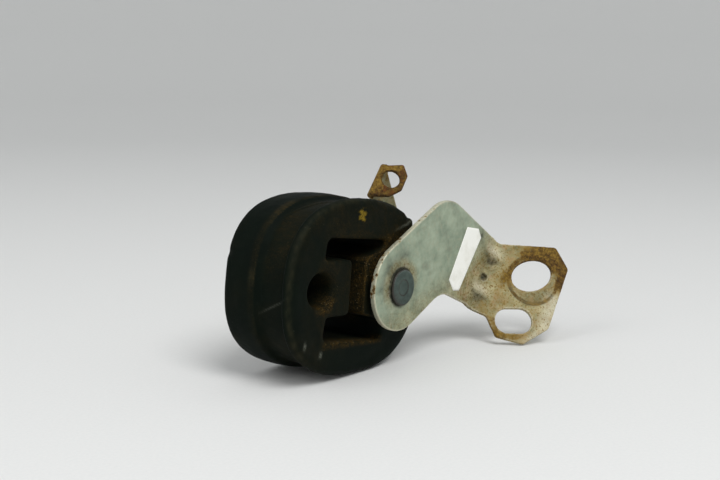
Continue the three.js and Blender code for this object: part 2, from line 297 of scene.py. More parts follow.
print("front plate bends by up to", round(bending(front.data).max(), 2), "per mm")

# %% [markdown]
# ## The flange and the tab seen square on
#
# Both are turned out of their plates, so their features are named in their own frames: how
# far out from the bend, how far along it, and how high off the sheet.

# %% Leaf frames
LEAN, FLANGE_TURN = math.radians(32), math.radians(51)
ACROSS = np.array((math.cos(LEAN), 0, -math.sin(LEAN)))
ALONG = np.array((math.sin(LEAN), 0, math.cos(LEAN)))
FORWARD = np.array((0, -1.0, 0))
OUT = ACROSS * math.cos(FLANGE_TURN) + FORWARD * math.sin(FLANGE_TURN)
OFF = FORWARD * math.cos(FLANGE_TURN) - ACROSS * math.sin(FLANGE_TURN)
BEND_AT = np.array((RIVET_X + 60.2, FRONT_FACE, 2.2))
FOLD_AT = np.array((RIVET_X + 33.4, RUBBER_DEPTH + 2.6, 39.5))
# Places on the flange and the tab, out and along. A hole also has its two radii and its tilt.
FLANGE = [
    (7.4, -16.6), (14.5, -23.4), (26.5, -21.4), (34.2, -10.4), (33, 18.4), (24.4, 25.6), (0, 16.6),
]
LARGE_HOLE = (19.1, 8.9), 9.1, 6.7, 44
SMALL_SLOT = (19, -13.6), 8, 5.45, 24
PRINT_MIDDLE, PRINT_RADIUS = (20.2, 7), 10.7
DARTS = 9.2, -9.2
TAB_HOLE, TAB_HOLE_RADIUS = (5.8, -2.3), 3.9


def on_leaf(points, at, way=1):
    """Out, along and off of drawn points on a leaf that starts at a bend."""
    from_bend = points - at
    return from_bend @ OUT, way * (from_bend @ ALONG), from_bend @ OFF


def turned_by(out, along, centre, tilt):
    """Places on a leaf, seen from a centre and along a tilted line."""
    dx, dy = math.cos(math.radians(tilt)), math.sin(math.radians(tilt))
    u = (out - centre[0]) * dx + (along - centre[1]) * dy
    return u, (along - centre[1]) * dx - (out - centre[0]) * dy


def slot_distance(out, along, centre, half, radius, tilt):
    """Distance from the rim of a straight-sided slot; negative inside it."""
    u, v = turned_by(out, along, centre, tilt)
    return np.hypot(np.maximum(abs(u) - (half - radius), 0), v) - radius


def oval_distance(out, along, centre, half, radius, tilt):
    """Distance from the rim of an oval hole, close enough near the rim."""
    u, v = turned_by(out, along, centre, tilt)
    share = np.maximum(np.hypot(u / half, v / radius), 1e-3)
    return np.hypot(u, v) * (1 - 1 / share)


def edge_depth(out, along, side):
    """How far inside one side of the flange's outline; sides count from the lower left."""
    (ax, ay), (bx, by) = FLANGE[side], FLANGE[side + 1]
    return ((bx - ax) * (along - ay) - (by - ay) * (out - ax)) / math.hypot(bx - ax, by - ay)


print("the flange is turned out by", round(math.degrees(FLANGE_TURN)), "degrees")

# %% [markdown]
# ## Rubber block
#
# The real block is carbon-black rubber, pressed in a two-part steel mould. Years under a car
# leave brown dust in its groove, on each lower lip and beside the plate, and the rest stays
# black. First the shape loses its machined evenness: it sags a little, a line of flash marks
# where the mould halves met, and the front rim is torn beside the plate. Then the dust is
# painted in, point by point.

# %% Rubber shape
BLOCK_X, BLOCK_Z = 1.2, 0.4  # the middle of its outline
SEAM_Y, SEAM_SLANT, SEAM_WIDTH = 15.5, 0.25, 0.4
SAG, RIPPLE = 0.28, 0.06
TEARS = [(9, 7, 24, 30), (27, 5, 20, 24)]  # x, half width, and the heights it grows between
TEAR_Y, TEAR_WIDTH = 0.8, 1.6
NUB_X, NUB_Y = 32, 1.6
NOTCH_Y, NOTCH_Z = 32.5, 11.2

at, facing = seen(rubber)
x, y, z = at.T
outer = ease(np.hypot(x - BLOCK_X, z - BLOCK_Z), 26, 31)
side = outer * (abs(facing[:, 1]) < 0.6)
seam_y = SEAM_Y - SEAM_SLANT * (x + 22) + 0.4 * waves(at, 40, 3, 1)
seam = spot((y - seam_y) / SEAM_WIDTH, 0) * side * ease(z, 22, 28) * ease(x, 8, 0)
sag = -SAG * (0.5 + 0.5 * waves(at, 30, 4)) - RIPPLE * (1 + waves(at, 7, 5))
ragged = 0.5 + 0.5 * waves(at, 3.5, 9)
tear = sum(spot((x - middle) / half, (y - TEAR_Y) / TEAR_WIDTH) * ease(z, low, high) * ragged
           for middle, half, low, high in TEARS)
nub = spot((x - NUB_X) / 1.1, (y - NUB_Y) / 1.3) * ease(z, 18, 22)
notch = spot((y - NOTCH_Y) / 1.5, (z - NOTCH_Z) / 1.3) * ease(x, -30, -36)
push(rubber, sag * outer + 0.3 * seam + 0.55 * tear + 1.2 * nub - 0.6 * notch)

# %% Rubber dust
GROOVE_Y, RIDGE_Y = 11, 19.2
OPENING_X, LOW_LIP_Z, BOSS_WALL_X = -1, -20.6, 5

at, facing = seen(rubber)
x, y, z = at.T
from_pin, from_rivet = np.hypot(x - PIN_X, z), np.hypot(x - RIVET_X, z)
patch = 0.5 + 0.5 * waves(at, 14, 11)
speck = 0.5 + 0.5 * waves(at, 2.6, 12)
opening = ease(np.hypot((x - OPENING_X) / 1.15, z), 23.5, 21) * ease(y, -0.4, 0.3)
groove = side * ease(abs(y - GROOVE_Y), 6.5, 3.5) * ease(z, -8, 18) * ease(x, 6, -14)
ridge = side * ease(abs(y - RIDGE_Y), 2.6, 0.8) * ease(z, -30, 10)
low_lip = ease(abs(z - LOW_LIP_Z), 2.2, 0.4) * ease(abs(x - OPENING_X), 19.5, 16) * ease(y, 9, 0.6)
pin_lip = ease(from_pin, 10.5, 7.6) * ease(z, 0, -5) * ease(x - PIN_X, -5, 3) * ease(y, 9, 0)
boss_wall = ease(abs(x - BOSS_WALL_X), 4, 1.5) * ease(abs(z), 15, 11) * ease(y, 14, 0)
boss_wall *= ease(facing[:, 1], -0.97, -0.8)
near_plate = ease(from_rivet, 25, 18.5) * ease(y, 1.8, 0.2) * ease(z + 0.8 * x, 4, 16)
dust = 0.2 * groove * (0.3 + patch) + 0.3 * ridge * (0.2 + 0.7 * patch)
dust += 0.9 * low_lip * (0.2 + speck)
dust += (pin_lip * (0.25 + 0.9 * speck) + 0.8 * boss_wall * (0.35 + speck)
         + 0.9 * near_plate * (0.3 + speck))
dust += 0.3 * opening * patch + 0.2 * ease(z + 0.3 * x, -8, 24) * patch * (y < 1)
print("dusty points:", int((dust > 0.3).sum()))

# %% [markdown]
# The rest of the marks are few and each has its own place: the rim's upper left and the ridge
# painted a lighter grey, partly rubbed skin and partly a painted highlight, chalky scrapes by
# the foot and on the side, a pale thin slanting line near the top by the plate, and a dab of
# paint above the opening.

# %% Rubber marks
RIM_Y = 1.5
FOOT_SCRAPES = [(0.8, -19.4, -23.9, 0.7, 1), (0.6, -28.8, -19.9, 0.6, 1.3)]  # strength, x, z, sizes
PALE_LINE_X, PALE_LINE_Z, SIDE_SCRAPE_Y, SIDE_SCRAPE_Z = 27.5, 24, 10.3, -6.1
DAB_X, DAB_Z = -0.6, 28

# Painted highlight, partly rubbed skin: the rim's upper left and the ridge are painted lighter.
rubbed_and_highlight = 0.8 * outer * spot((y - RIM_Y) / 0.9, 0) * ease(y, 0.2, 1) * (0.4 + 0.7 * speck)
rubbed_and_highlight *= ease(x - z, 12, -6)
rubbed_and_highlight += 0.6 * ridge * ease(patch, 0.3, 0.7)
foot_scrapes = sum(strength * spot((x - foot_x) / wide, (z - foot_z) / high)
                   for strength, foot_x, foot_z, wide, high in FOOT_SCRAPES)
# A pale thin slanting line near the top, beside the plate.
beside = x - PALE_LINE_X
pale_top_line = 0.6 * spot(beside / 4.5, (z - PALE_LINE_Z - 0.32 * beside) / 0.5)
behind = y - SIDE_SCRAPE_Y
side_scrape = 0.28 * side * spot(behind / 5.5, (z - SIDE_SCRAPE_Z + 0.5 * behind) / 0.3)
scuff = foot_scrapes * ease(y, 2, 0.5) + pale_top_line * ease(y, 2.5, 1)
scuff += side_scrape * ease(x, -30, -36)
from_dab = np.hypot((x - DAB_X) / 1.9, (z - DAB_Z) / 2.3) + 0.55 * waves(at, 2.2, 14)
dab = ease(from_dab, 1.15, 0.7) * ease(y, 1.4, 0.8)
paint(rubber, dust=dust, scuff=scuff, dab=dab, edge=rubbed_and_highlight)

# %% [markdown]
# ## Plates
#
# Both plates are punched and bent from 2.2 mm steel and zinc plated. The plating goes first
# on the cut edges and round the holes, where bolts and washers rubbed it, so rust is painted
# by distance: from the flange's sides, from its two holes, from the print of the washer. Dirt
# stays round the rivet, and a rubbed place is lighter. The darts get painted shade below and
# on their lower faces, and a painted highlight on their upper faces. The sheet also has
# shallow dents, too soft to see except in how it reflects.

# %% Front plate shape
DENTS = 0.05
DISH_RADIUS, DISH_DEPTH = 12.2, 0.12
WORN_BEND = 0.18, 0.75  # bending per millimetre where wear starts, and where it is full

at, facing = seen(front)
out, along, off = on_leaf(at, BEND_AT)
flat_x, flat_z = at[:, 0] - RIVET_X, at[:, 2]
from_rivet = np.hypot(flat_x, flat_z)
on_flange = ease(out, 1, 5) * ease(abs(off + SHEET / 2), 4, 2.5)
at_bend = ease(np.hypot(out, off), 8, 5.5)
dish = spot((from_rivet - DISH_RADIUS) / 2.2, 0)
dish *= ease(at[:, 1], FRONT_FACE + 0.8, FRONT_FACE + 0.2)
push(front, DENTS * waves(at, 26, 21, 2) - DENTS - DISH_DEPTH * dish)
edge = ease(bending(front.data), *WORN_BEND)
cut = ease(abs(facing[:, 1]), 0.6, 0.2) * (1 - on_flange) * (1 - at_bend)
rim = np.maximum(cut, edge * (1 - on_flange) * (1 - at_bend))
blotch = 0.5 + 0.5 * waves(at, 9, 22)
fleck = 0.5 + 0.5 * waves(at, 2.3, 23)

# %% [markdown]
# Rust starts at the flange's free sides and round both holes, and follows the print of the
# washer. The left end of the lobe has only nicks of it on its cut edge. Where the plating
# still holds, a stain turns it ochre first.

# %% Front plate rust
OCHRE_SPOT = 8.8, 3

large = oval_distance(out, along, *LARGE_HOLE)
small = slot_distance(out, along, *SMALL_SLOT)
from_print = np.hypot(out - PRINT_MIDDLE[0], along - PRINT_MIDDLE[1])
ring = ease(abs(from_print - PRINT_RADIUS), 1, 0.35)
top_band = ease(edge_depth(out, along, 5), 7.5, 3.5) * ease(out, 8, 13)
corner = ease(edge_depth(out, along, 4), 8, 2.5) * ease(along, 3, 12)
corner += ease(edge_depth(out, along, 3), 5, 1.5) * ease(along, 3, 10)
foot = ease(edge_depth(out, along, 1), 4, 0.5) + ease(edge_depth(out, along, 0), 2.2, 0.3)
by_hole = spot((out - OCHRE_SPOT[0]) / 2.6, (along - OCHRE_SPOT[1]) / 4.5)
crescent = ease(large, 4.5, 1) * ease(along - 0.4 * out, 1, 6)
rust = 0.46 * top_band + 0.45 * corner + 0.22 * foot + 0.24 * crescent + 0.2 * ease(large, 2, 0)
rust += 0.26 * ease(small, 3.5, 0.5) * ease(along, -13, -17) * (0.6 + 0.6 * fleck)
rust += 0.46 * by_hole + 0.14 + 0.16 * ring
rust = on_flange * rust * (0.7 + 0.35 * blotch + 0.2 * fleck)
upper_left = ease(flat_z - 1.1 * flat_x, 2, 18)
nick = ease(fleck + 0.7 * blotch, 0.95, 1.3)
rust += rim * upper_left * (0.1 + 0.5 * nick)
ochre = 0.9 * by_hole + 0.8 * foot + 0.5 * ease(small, 3, 0) + 0.5 * top_band + 0.35 * blotch
ochre *= on_flange
print("crusted points:", int((rust > 0.5).sum()))

# %% [markdown]
# Dirt packs round the rivet's head, in the dish and in the washer's print. Below each dart,
# on the darts' lower faces and in the punched pit, the darkening is painted shade. Salts dry
# cream on the flange and low on the lobe. Steel is bare on the cut edge and where the flange
# rubbed, and the upper face of each dart gets the same pale colour as a painted highlight.

# %% Front plate dirt and wear
LABEL_MARK = 55.9, 19.3  # a small round mark beside the label

grime = 0.95 * ease(from_rivet, 8.6, 7.2)
grime += 0.42 * ease(from_rivet, 12, 8) * ease(flat_z - flat_x, -6, 8)
ring_dirt = 1.6 * ring * on_flange * ease(out + 0.7 * along, 42, 18)
grime += ring_dirt + 0.9 * spot(flat_x - LABEL_MARK[0], flat_z - LABEL_MARK[1], 1.3)
dish_dirt = 0.48 * spot((from_rivet - 12.6) / 1.8, 0) * ease(flat_z - flat_x, 2, 12)
grime += 0.26 * ease(from_print, 11, 10.2) * on_flange + dish_dirt * (0.4 + 0.6 * blotch)
# Painted shade: faces that turn down along the bend and the punched pit are darkened.
lower_face_shade = 0.26 * ease(-(facing @ ALONG), 0.05, 0.6)
pit_shade = 0.9 * spot(out, along + 1, 1.5) * (off > -2)
grime += at_bend * (lower_face_shade + pit_shade)
grime += 0.16 * ease(blotch, 0.5, 0.9) * (1 - on_flange)
# Painted shade below each dart.
for dart in DARTS:
    grime += 0.34 * at_bend * spot((out - 0.5) / 4.4, (along - dart + 2.6) / 3)
halo = ease(from_rivet, 13, 9) * ease(flat_z - 0.5 * flat_x, -9, 4)
cream = 0.9 * ease(out, -14, 1) + 0.5 * ease(flat_z - 0.35 * flat_x, -3, -16) + 0.75 * halo
# Bare steel on the edges and where the flange rubbed; the darts' upper faces get the same pale
# colour as a painted highlight.
bare = [edge, cut, 0.75 * at_bend * ease(facing @ ALONG, 0.2, 0.65)]
bare += [at_bend * spot(out / 4, (along - dart - 2.3) / 2.6) for dart in DARTS]
bare.append(on_flange * ease(edge_depth(out, along, 3), 8, 2) * ease(along, 8, 2))
bare.append(0.8 * on_flange * ease(edge_depth(out, along, 2), 4, 1))
bare.append(0.6 * on_flange * ease(small, 1.1, 0.3) * ease(along, -15, -11))
paint(front, rust=rust, ochre=ochre, grime=grime, cream=cream, bare=np.max(bare, axis=0))

# %% [markdown]
# The rear plate had less luck: its tab is brown all over, its arm is zinc and salts, and only
# the arm's edge still shows bare steel.

# %% Rear plate
at, _ = seen(rear)
out, along, off = on_leaf(at, FOLD_AT, way=-1)
push(rear, DENTS * waves(at, 22, 31, 2) - DENTS)
bend = bending(rear.data)
edge = ease(bend, *WORN_BEND)
blotch = 0.5 + 0.5 * waves(at, 8, 32)
fleck = 0.5 + 0.5 * waves(at, 2.1, 33)
on_tab = ease(out, -2, 1.5) * ease(abs(off - SHEET / 2), 4.4, 2.8)
from_hole = np.hypot(out - TAB_HOLE[0], along - TAB_HOLE[1]) - TAB_HOLE_RADIUS
rust = on_tab * (0.5 + 0.3 * blotch + 0.2 * fleck + 0.15 * ease(from_hole, 2, 0)) + 0.2 * edge
rust += (1 - on_tab) * (0.12 + 0.34 * ease(at[:, 2], 30, 42) * blotch)
ochre = ease(out + 0.4 * along, 7, 1) * on_tab + 0.5 * (1 - on_tab) + 0.3 * fleck - edge * on_tab
grime = 0.9 * edge * on_tab + 0.35 * ease(-bend, 0.08, 0.35) + 0.1 * blotch * (1 - on_tab)
paint(rear, rust=rust, ochre=ochre, grime=grime, cream=0.6 + 0.4 * blotch, bare=edge * (1 - on_tab))

# %% [markdown]
# ## Carbon-black rubber
#
# EPDM rubber filled with carbon black, moulded against blasted steel. It is a dark
# dielectric with an open, chalky skin, so the eye gets only a faint broad sheen; the dust on
# it is brown and dead matt. Along the rim and the ridge the skin is painted a shade greyer,
# partly rubbed and partly a painted highlight. The mould's blasted grain is about 0.3 mm.
# Fine dust is finer than a pixel here, so it is drawn at about 0.6 mm, which is as coarse as
# it needs to be to show.

# %% Rubber material


def rubber_material():
    material, tree, space = new_material("carbon black EPDM rubber, moulded")
    dust, edge, scuff, dab = (
        add(tree, "ShaderNodeAttribute", attribute_name=layer).outputs["Fac"]
        for layer in ("dust", "edge", "scuff", "dab"))
    grain = add(tree, "ShaderNodeTexNoise", {
        "Vector": space, "Scale": 1 / (0.6 * MM), "Detail": 4, "Roughness": 0.65})
    cloud = add(tree, "ShaderNodeTexNoise", {"Vector": space, "Scale": 1 / (9 * MM), "Detail": 6})
    haze = add(tree, "ShaderNodeTexNoise", {"Vector": space, "Scale": 1 / (24 * MM), "Detail": 3})
    drawn_out = add(tree, "ShaderNodeMapping", {"Vector": space, "Scale": (1, 0.3, 0.6)})
    wipe = add(tree, "ShaderNodeTexNoise", {
        "Vector": drawn_out, "Scale": 1 / (2.2 * MM), "Detail": 5})
    both = add(tree, "ShaderNodeMath", {0: grain, 1: wipe}, operation="ADD")
    # A thin brown film lies in drifts. The rim and the ridge are painted lighter, partly rubbed
    # skin and partly painted highlight, and unevenly.
    drift = add(tree, "ShaderNodeMapRange", {"Value": haze, "From Min": 0.47, "From Max": 0.66})
    thin = add(tree, "ShaderNodeMapRange", {
        "Value": wipe, "From Min": 0.3, "From Max": 0.7, "To Min": 0.1, "To Max": 0.5})
    film = add(tree, "ShaderNodeMath", {0: drift, 1: thin}, operation="MULTIPLY")
    uneven = add(tree, "ShaderNodeMapRange", {
        "Value": wipe, "From Min": 0.25, "From Max": 0.75, "To Min": 0.1, "To Max": 0.9})
    rubbed_and_highlight = add(tree, "ShaderNodeMath", {0: edge, 1: uneven}, operation="MULTIPLY")
    # Dust, chalky scrapes and the pale line at the top are broken up by the grain, and grit
    # stands out of it.
    broken = add(tree, "ShaderNodeMapRange", {
        "Value": both, "From Min": 0.75, "From Max": 1.2, "To Min": 0.15, "To Max": 1.3})
    dusty = add(tree, "ShaderNodeMath", {0: dust, 1: broken}, operation="MULTIPLY", use_clamp=True)
    coarse = add(tree, "ShaderNodeMapRange", {"Value": grain, "From Min": 0.35, "From Max": 0.68})
    soil = add(tree, "ShaderNodeMix", {
        "Factor": coarse, "A": "#1a150a", "B": "#483819"}, data_type="RGBA")
    chalky = add(tree, "ShaderNodeMapRange", {"Value": grain, "From Min": 0.3, "From Max": 0.6})
    chalk = add(tree, "ShaderNodeMath", {0: scuff, 1: chalky}, operation="MULTIPLY")
    grit = add(tree, "ShaderNodeMapRange", {
        "Value": grain, "From Min": 0.68, "From Max": 0.76, "To Max": 0.5})
    # The dab of yellow marking paint flakes.
    flakes = add(tree, "ShaderNodeMapRange", {
        "Value": grain, "From Min": 0.36, "From Max": 0.5, "To Min": 0.35, "To Max": 1.1})
    left = add(tree, "ShaderNodeMath", {0: dab, 1: flakes}, operation="MULTIPLY", use_clamp=True)
    yellow = add(tree, "ShaderNodeMix", {
        "Factor": wipe, "A": "#5a4a12", "B": "#8b7426"}, data_type="RGBA")
    # Black rubber lies under it all, and each layer covers the ones before it.
    base = add(tree, "ShaderNodeMix", {
        "Factor": cloud, "A": "#050c09", "B": "#0e150e"}, data_type="RGBA")
    for share, tone in ((film, "#211d10"), (rubbed_and_highlight, "#2f2e20"), (dusty, soil), (chalk, "#7d8073"),
                        (grit, "#55594b"), (left, yellow)):
        base = add(tree, "ShaderNodeMix", {"Factor": share, "A": base, "B": tone}, data_type="RGBA")
    rough = add(tree, "ShaderNodeMapRange", {"Value": dusty, "To Min": 0.6, "To Max": 0.95})
    bump = add(tree, "ShaderNodeBump", {"Height": both, "Strength": 0.4, "Distance": 0.13 * MM})
    shader = add(tree, "ShaderNodeBsdfPrincipled", {
        "Base Color": base, "Roughness": rough, "IOR": 1.45, "Specular IOR Level": 0.05,
        "Normal": bump})
    add(tree, "ShaderNodeOutputMaterial", {"Surface": shader})
    return material


rubber.data.materials.append(rubber_material())
print("rubber material:", len(rubber.data.materials[0].node_tree.nodes), "nodes")

# %% [markdown]
# ## Zinc plating and the rust that follows it
#
# Electroplated zinc is bright when new and soon grows a grey-green oxide: half metal, half
# chalk, so it reflects softly. Under the car it takes a cream film of salts. Where the zinc
# is gone the steel rusts, first an ochre stain, then a dark brown crust that is no metal at
# all and stands a little proud. One recipe serves both plates, with the painted layers
# saying how far each place has gone. Oxide clouds over 4 to 7 mm and rust grains are about
# 1 mm. Rolling marks are finer than 0.1 mm and are drawn at 0.5 mm, to show at all.

# %% Plate material


def plated_steel(name, sheen, flush):
    material, tree, space = new_material(name)
    rust, ochre, grime, cream, bare = (
        add(tree, "ShaderNodeAttribute", attribute_name=layer).outputs["Fac"]
        for layer in ("rust", "ochre", "grime", "cream", "bare"))
    aside = add(tree, "ShaderNodeMapping", {"Vector": space, "Location": (0.1, 0.2, 0.3)})
    rolled = add(tree, "ShaderNodeMapping", {
        "Vector": space, "Rotation": (0, math.radians(35), 0), "Scale": (0.12, 1, 1)})
    cloud, speck, tint, mottle, scratch = (
        add(tree, "ShaderNodeTexNoise", {
            "Vector": where, "Scale": 1 / (size * MM), "Detail": detail, "Roughness": roughness})
        for where, size, detail, roughness in (
            (space, 7, 7, 0.62), (space, 0.9, 5, 0.7), (aside, 4, 5, 0.65), (aside, 1.8, 4, 0.5),
            (rolled, 0.5, 3, 0.5)))
    clouds = add(tree, "ShaderNodeMapRange", {"Value": cloud, "From Min": 0.33, "From Max": 0.66})
    fine = add(tree, "ShaderNodeMapRange", {"Value": speck, "From Min": 0.36, "From Max": 0.64})
    spots = add(tree, "ShaderNodeMapRange", {
        "Value": mottle, "From Min": 0.5, "From Max": 0.72, "To Max": 0.55})
    blush = add(tree, "ShaderNodeMapRange", {
        "Value": tint, "From Min": 0.5, "From Max": 0.68, "To Max": 0.55})
    # Zinc oxide is grey-green and mottled. The salts are cream, blushing, with olive spots.
    zinc = add(tree, "ShaderNodeMix", {
        "Factor": clouds, "A": "#84937f", "B": "#afbba4"}, data_type="RGBA")
    zinc = add(tree, "ShaderNodeMix", {
        "Factor": spots, "A": zinc, "B": "#a9ac94"}, data_type="RGBA")
    salts = add(tree, "ShaderNodeMix", {
        "Factor": clouds, "A": "#6d6030", "B": "#b6a778"}, data_type="RGBA")
    for share, tone in ((blush, "#b08e70"), (spots, "#7b7a4e")):
        salts = add(tree, "ShaderNodeMix", {
            "Factor": share, "A": salts, "B": tone}, data_type="RGBA")
    thick = add(tree, "ShaderNodeMapRange", {"Value": fine, "To Min": 0.65, "To Max": 1.1})
    film = add(tree, "ShaderNodeMath", {0: thick, 1: cream}, operation="MULTIPLY", use_clamp=True)
    # Wear bares the steel, and on the darts' upper faces the same pale colour is a painted
    # highlight. Pinholes in the salts show brown.
    worn_and_highlight = add(tree, "ShaderNodeMapRange", {"Value": fine, "To Min": 0.4, "To Max": 0.9})
    worn_and_highlight = add(tree, "ShaderNodeMath", {0: worn_and_highlight, 1: bare}, operation="MULTIPLY")
    dots = add(tree, "ShaderNodeMapRange", {
        "Value": speck, "From Min": 0.53, "From Max": 0.61, "To Max": 0.85})
    dots = add(tree, "ShaderNodeMath", {0: dots, 1: cream}, operation="MULTIPLY")
    # Dirt, with the painted shade under the darts, is patchy. The stain spreads a little past
    # the rust.
    patchy = add(tree, "ShaderNodeMath", {0: speck, 1: mottle}, operation="ADD")
    patchy = add(tree, "ShaderNodeMapRange", {
        "Value": patchy, "From Min": 0.7, "From Max": 1.15, "To Min": 0.55, "To Max": 1.15})
    dirt_and_shade = add(tree, "ShaderNodeMath", {0: grime, 1: patchy}, operation="MULTIPLY", use_clamp=True)
    spill = add(tree, "ShaderNodeMath", {0: rust, 1: tint}, operation="ADD")
    spill = add(tree, "ShaderNodeMapRange", {
        "Value": spill, "From Min": 0.55, "From Max": 1.0, "To Max": 0.75})
    some = add(tree, "ShaderNodeMapRange", {"Value": rust, "From Max": 0.15})
    stain = add(tree, "ShaderNodeMath", {0: spill, 1: some}, operation="MULTIPLY", use_clamp=True)
    brown = add(tree, "ShaderNodeMix", {
        "Factor": fine, "A": "#7c6222", "B": "#a5884a"}, data_type="RGBA")
    # Crust stands where rust is deepest, dark brown or ochre.
    pits = add(tree, "ShaderNodeMath", {0: speck, 1: cloud}, operation="ADD")
    reach = add(tree, "ShaderNodeMath", {0: rust, 1: pits}, operation="ADD")
    crust = add(tree, "ShaderNodeMapRange", {"Value": reach, "From Min": 1.35, "From Max": 1.52})
    dark = add(tree, "ShaderNodeMix", {
        "Factor": fine, "A": "#25170a", "B": "#624616"}, data_type="RGBA")
    dark = add(tree, "ShaderNodeMix", {"Factor": blush, "A": dark, "B": flush}, data_type="RGBA")
    warm = add(tree, "ShaderNodeMix", {
        "Factor": fine, "A": "#4c370c", "B": "#8d702c"}, data_type="RGBA")
    clumps = add(tree, "ShaderNodeMapRange", {
        "Value": mottle, "From Min": 0.4, "From Max": 0.6, "To Min": -0.35, "To Max": 0.35})
    warmth = add(tree, "ShaderNodeMath", {0: ochre, 1: clumps}, operation="ADD", use_clamp=True)
    scale = add(tree, "ShaderNodeMix", {"Factor": warmth, "A": dark, "B": warm}, data_type="RGBA")
    # Each layer covers the ones before it, from the plating up to the crust.
    base = zinc
    for share, tone in ((film, salts), (worn_and_highlight, "#dcd6bd"), (dots, "#6b541f"), (dirt_and_shade, "#33342a"),
                        (stain, brown), (crust, scale)):
        base = add(tree, "ShaderNodeMix", {"Factor": share, "A": base, "B": tone}, data_type="RGBA")
    # What is covered is no longer metal, and it is rougher.
    cover = crust
    for share in (dirt_and_shade, film, stain):
        cover = add(tree, "ShaderNodeMath", {0: cover, 1: share}, operation="MAXIMUM")
    metal = add(tree, "ShaderNodeMapRange", {"Value": cover, "To Min": sheen, "To Max": 0})
    rough = add(tree, "ShaderNodeMapRange", {"Value": cover, "To Min": 0.44, "To Max": 0.86})
    waver = add(tree, "ShaderNodeMapRange", {"Value": cloud, "To Min": -0.08, "To Max": 0.08})
    rough = add(tree, "ShaderNodeMath", {0: rough, 1: waver}, operation="ADD")
    raised = add(tree, "ShaderNodeMath", {0: crust, 1: speck}, operation="MULTIPLY")
    height = add(tree, "ShaderNodeMath", {0: scratch, 1: 0.12, 2: raised}, operation="MULTIPLY_ADD")
    bump = add(tree, "ShaderNodeBump", {"Height": height, "Strength": 0.6, "Distance": 0.25 * MM})
    shader = add(tree, "ShaderNodeBsdfPrincipled", {
        "Base Color": base, "Metallic": metal, "Roughness": rough, "Specular IOR Level": 0.3,
        "Normal": bump})
    add(tree, "ShaderNodeOutputMaterial", {"Surface": shader})
    return material


front.data.materials.append(plated_steel("zinc plated steel, dulled", sheen=0.5, flush="#634b1a"))
rear.data.materials.append(
    plated_steel("zinc plated steel, rusted through", sheen=0.4, flush="#7f3b0e"))
print("plate material:", len(front.data.materials[0].node_tree.nodes), "nodes")

# %% [markdown]
# ## Rivet and sleeve steel
#
# The rivet is cold-headed steel, phosphated before it was set: dark slate with a soft
# reflection, and greasy dirt packed round its edge. Its head also gets painted shade on the
# lower left and a painted highlight along the upper part of its rim. The sleeve is turned
# from bar, so its tool marks run round it, drawn at 0.3 mm where the real ones are about
# 0.1 mm. It hardly shows between plate and rubber.

# %% Steel materials


def headed_steel():
    material, tree, space = new_material("phosphated rivet steel, cold headed")
    grime, edge = (
        add(tree, "ShaderNodeAttribute", attribute_name=layer).outputs["Fac"]
        for layer in ("grime", "edge"))
    cloud = add(tree, "ShaderNodeTexNoise", {"Vector": space, "Scale": 1 / (2.5 * MM), "Detail": 6})
    speck = add(tree, "ShaderNodeTexNoise", {"Vector": space, "Scale": 1 / (0.5 * MM), "Detail": 4})
    # The head's rim is painted lighter on its upper part as a highlight, and its greasy dirt comes
    # with painted shade on the lower left.
    rubbed_and_highlight = add(tree, "ShaderNodeMath", {0: edge, 1: 0.4}, operation="MULTIPLY")
    greasy_dirt_and_shade = add(tree, "ShaderNodeMath", {0: grime, 1: speck}, operation="ADD")
    greasy_dirt_and_shade = add(tree, "ShaderNodeMapRange", {"Value": greasy_dirt_and_shade, "From Min": 0.62, "From Max": 1.15})
    base = add(tree, "ShaderNodeMix", {
        "Factor": cloud, "A": "#1d2a27", "B": "#607069"}, data_type="RGBA")
    for share, tone in ((rubbed_and_highlight, "#8b9590"), (greasy_dirt_and_shade, "#221f17")):
        base = add(tree, "ShaderNodeMix", {"Factor": share, "A": base, "B": tone}, data_type="RGBA")
    metal = add(tree, "ShaderNodeMapRange", {"Value": greasy_dirt_and_shade, "To Min": 0.7, "To Max": 0.05})
    rough = add(tree, "ShaderNodeMapRange", {"Value": cloud, "To Min": 0.38, "To Max": 0.62})
    bump = add(tree, "ShaderNodeBump", {"Height": speck, "Strength": 0.35, "Distance": 0.08 * MM})
    shader = add(tree, "ShaderNodeBsdfPrincipled", {
        "Base Color": base, "Metallic": metal, "Roughness": rough, "Normal": bump})
    add(tree, "ShaderNodeOutputMaterial", {"Surface": shader})
    return material


def turned_steel():
    material, tree, space = new_material("turned mild steel")
    rings = add(tree, "ShaderNodeMapping", {"Vector": space, "Scale": (0.05, 1, 0.05)})
    marks = add(tree, "ShaderNodeTexNoise", {"Vector": rings, "Scale": 1 / (0.3 * MM), "Detail": 2})
    cloud = add(tree, "ShaderNodeTexNoise", {"Vector": space, "Scale": 1 / (3 * MM), "Detail": 5})
    base = add(tree, "ShaderNodeMix", {
        "Factor": cloud, "A": "#4a3d2c", "B": "#77746a"}, data_type="RGBA")
    rough = add(tree, "ShaderNodeMapRange", {"Value": marks, "To Min": 0.4, "To Max": 0.7})
    bump = add(tree, "ShaderNodeBump", {"Height": marks, "Strength": 0.3, "Distance": 0.05 * MM})
    shader = add(tree, "ShaderNodeBsdfPrincipled", {
        "Base Color": base, "Metallic": 0.7, "Roughness": rough, "Normal": bump})
    add(tree, "ShaderNodeOutputMaterial", {"Surface": shader})
    return material


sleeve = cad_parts["spacer_sleeve"]
sleeve.data.materials.clear()
sleeve.data.materials.append(turned_steel())
print("sleeve material:", sleeve.data.materials[0].name)

# %% [markdown]
# ## Rivet by Geometry Nodes
#
# A rivet is a turned shape, and that is a rule: one profile swept round an axis. So it is
# made from its profile alone. The nodes round the profile's corners, sweep it along a
# circle so small that it is a point, and merge the poles. The head's edge, its round mark
# and the hammered dome of the tail all come from a dozen points, and every size is an
# input. Four helpers come first, which the label and the lumps use again.

# %% Geometry Nodes helpers


